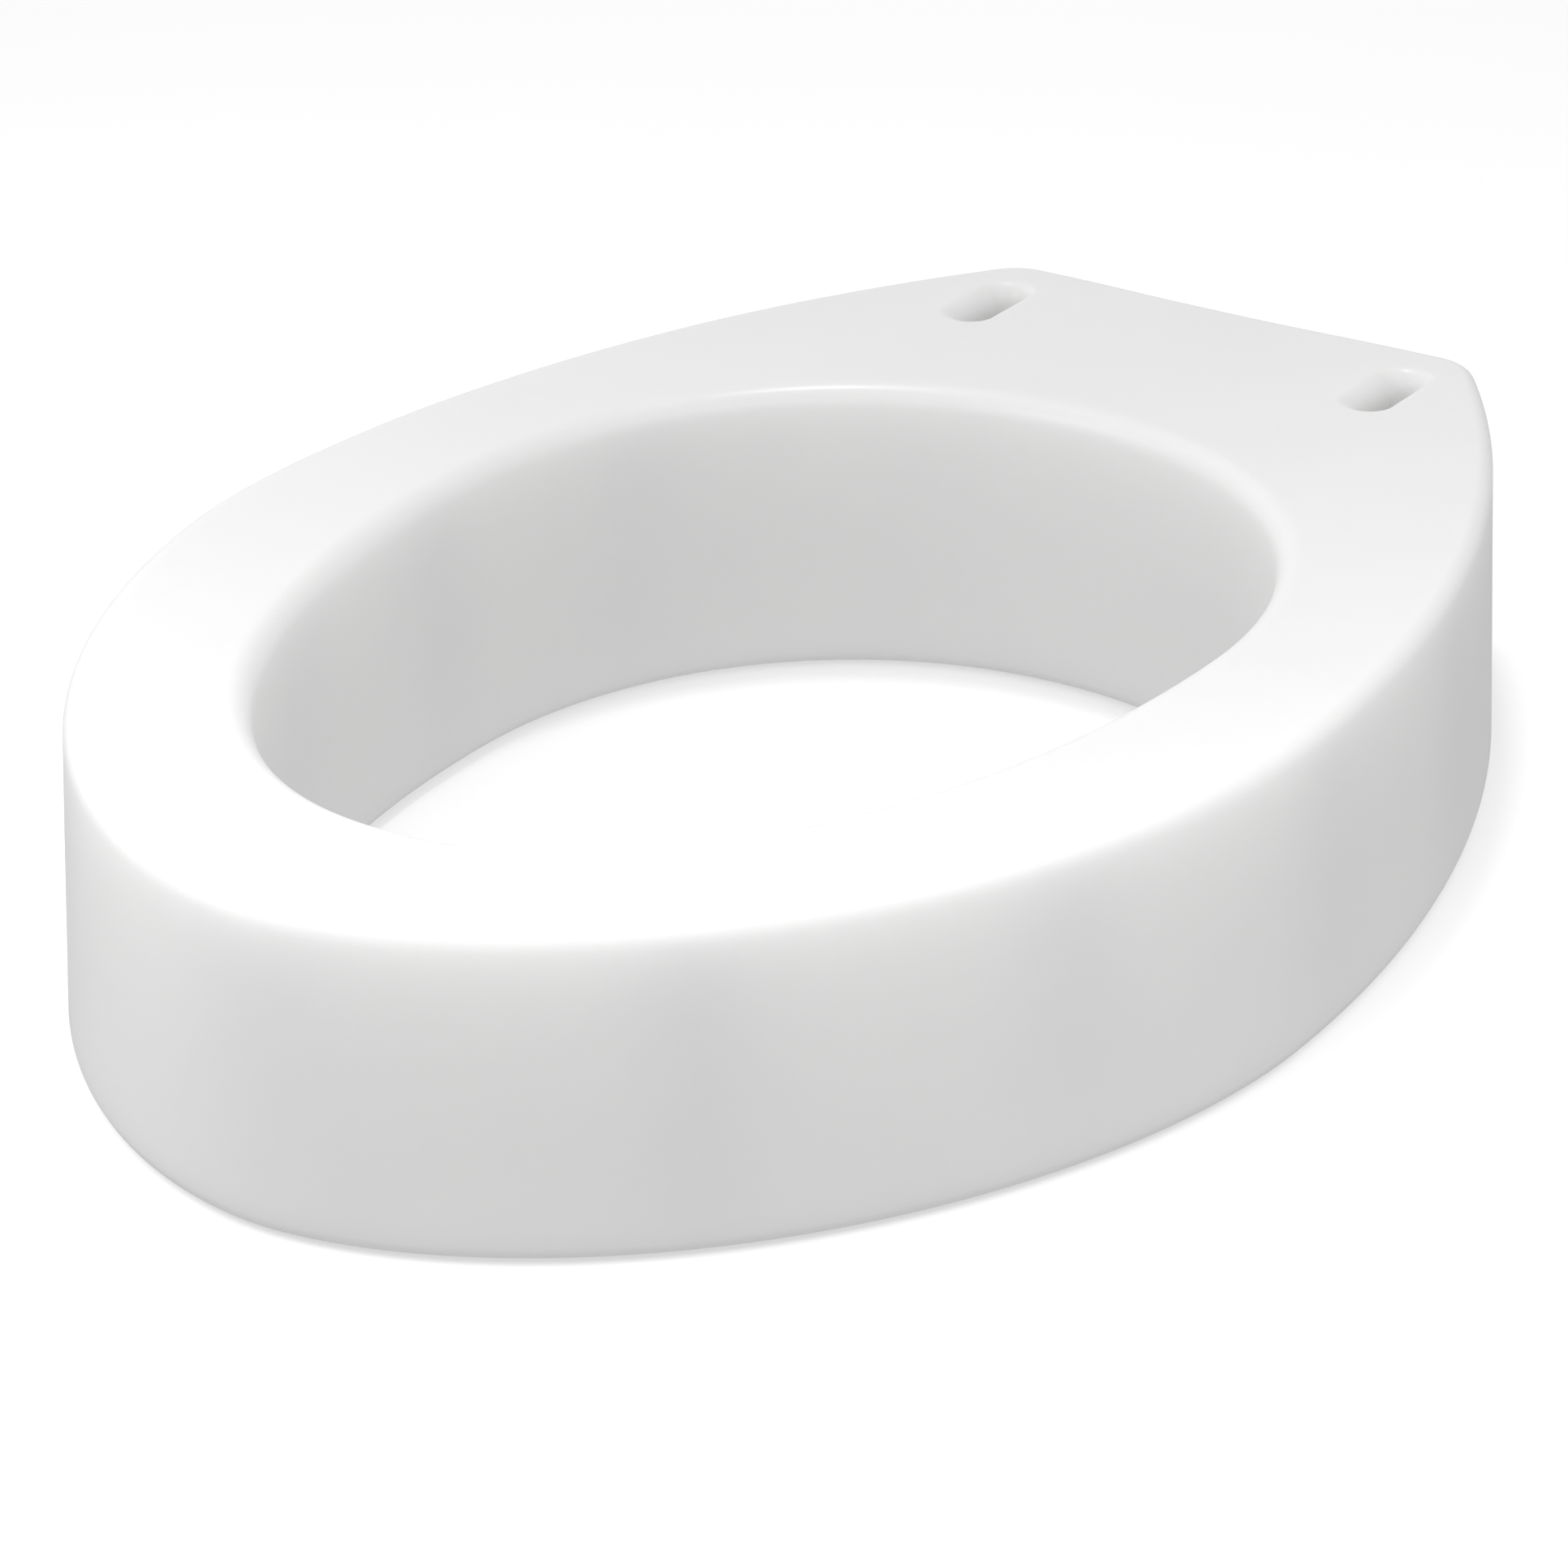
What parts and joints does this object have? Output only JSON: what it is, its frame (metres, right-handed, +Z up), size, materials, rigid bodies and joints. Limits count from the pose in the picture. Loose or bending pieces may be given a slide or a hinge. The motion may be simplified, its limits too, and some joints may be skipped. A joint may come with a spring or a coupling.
{
  "type": "raised toilet seat riser",
  "caption": "Hollow moulded elongated riser ring with a flat deck, rubber pads under its base and slots for the bolts of a toilet seat's hinges.",
  "frame": {"origin": "middle of the footprint, on the plane that the rubber pads stand on", "axes": "+Z up, -Y towards the user's feet (the rounded front), +Y towards the bolt slots, +X to the right of someone who faces the front"},
  "size_m": [0.352, 0.496, 0.091],
  "materials": {
    "moulding": "white blow-moulded polyethylene, satin with a soft gloss",
    "pad_rubber": "matte grey rubber",
    "plug_plastic": "plain moulded plastic"
  },
  "bodies": {
    "root": {"riser_shell": "moulding", "pad_front_left": "pad_rubber", "pad_front_right": "pad_rubber", "pad_rear_left": "pad_rubber", "pad_rear_right": "pad_rubber", "vent_plug": "plug_plastic"}
  },
  "joints": []
}
